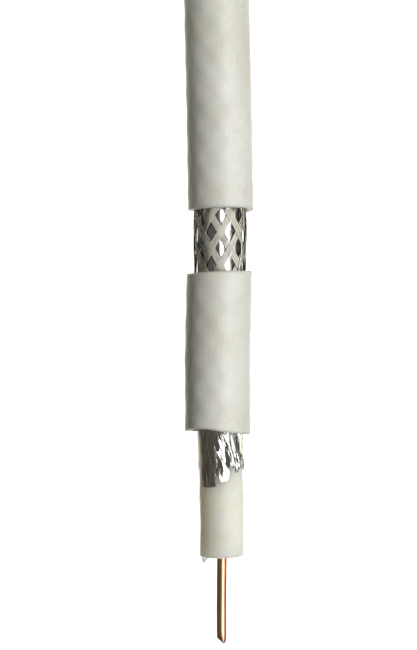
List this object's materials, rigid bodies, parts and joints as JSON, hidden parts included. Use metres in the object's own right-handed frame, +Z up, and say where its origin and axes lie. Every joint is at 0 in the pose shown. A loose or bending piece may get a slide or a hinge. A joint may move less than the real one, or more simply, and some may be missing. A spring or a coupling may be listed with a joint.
{
  "type": "coaxial cable coil",
  "caption": "Round coil of pale coaxial cable held by ties, with one end led off and stripped to show braid, foil, dielectric and copper conductor.",
  "frame": {"origin": "middle of the floor area that the coil and its free end cover, on the floor that they lie on", "axes": "+Z up along the coil's axis; the free end points along -Y, and the coil lies towards +Y"},
  "size_m": [0.1606, 0.2146, 0.0387],
  "materials": {
    "jacket": "satin off-white PVC",
    "tie": "natural nylon",
    "braid": "fine tinned wire, semi-bright",
    "foil": "bright, creased",
    "film": "clear, thin",
    "dielectric": "waxy foamed polyethylene",
    "conductor": "drawn bare copper"
  },
  "bodies": {
    "root": {"cable_coil": "jacket", "coil_tie_1": "tie", "coil_tie_2": "tie", "coil_tie_3": "tie", "jacket": "jacket", "jacket_sleeve": "jacket", "shield_braid": "braid", "shield_foil": "foil", "dielectric_film": "film", "dielectric": "dielectric", "center_conductor": "conductor"}
  },
  "joints": []
}
